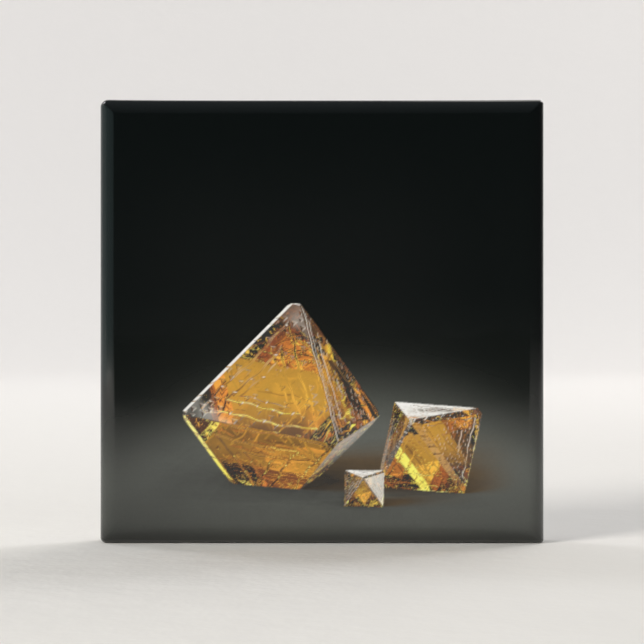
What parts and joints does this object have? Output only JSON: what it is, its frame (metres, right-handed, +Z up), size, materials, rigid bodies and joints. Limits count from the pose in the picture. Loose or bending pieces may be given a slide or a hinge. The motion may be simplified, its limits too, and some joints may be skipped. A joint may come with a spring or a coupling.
{
  "type": "square pin-back button badge",
  "caption": "Square button badge: printed paper under clear film, rolled over a pressed steel shell and clamped by a steel back with a locking bar pin.",
  "frame": {"origin": "centre of the square, in the plane of the back rim that lies on the cloth", "axes": "+X to the right of someone looking at the face, +Z up as the badge is worn, +Y out of the back into the cloth; the printed face looks along -Y"},
  "size_m": [0.0508, 0.0078, 0.0508],
  "materials": {
    "clear_film": "clear polyester film, glossy",
    "printed_paper": "printed, seen through the film",
    "shell_tinplate": "bright tin plate, pressed",
    "back_tinplate": "tin plate, pressed, fine rolling grain",
    "nickel_bar": "bright nickel plate, stamped",
    "nickel_rivet": "bright nickel plate",
    "pin_wire": "polished nickel-plated steel wire",
    "nickel_sleeve": "bright nickel plate, rolled"
  },
  "bodies": {
    "badge": {"film": "clear_film", "print_sheet": "printed_paper", "shell": "shell_tinplate", "back_plate": "back_tinplate", "pin_bar": "nickel_bar", "hinge_rivet": "nickel_rivet"},
    "pin": {"pin_stem": "pin_wire"},
    "catch": {"catch_sleeve": "nickel_sleeve"}
  },
  "joints": [
    {"name": "pin_swing", "type": "hinge", "parent": "badge", "child": "pin", "pos_m": [0.0126, 0.00137, 0.007], "axis": [0, 0, -1], "range_deg": [0, 90]},
    {"name": "catch_turn", "type": "hinge", "parent": "badge", "child": "catch", "pos_m": [-0.0114, 0.00137, 0.007], "axis": [1, 0, 0], "range_deg": [0, 120]}
  ]
}
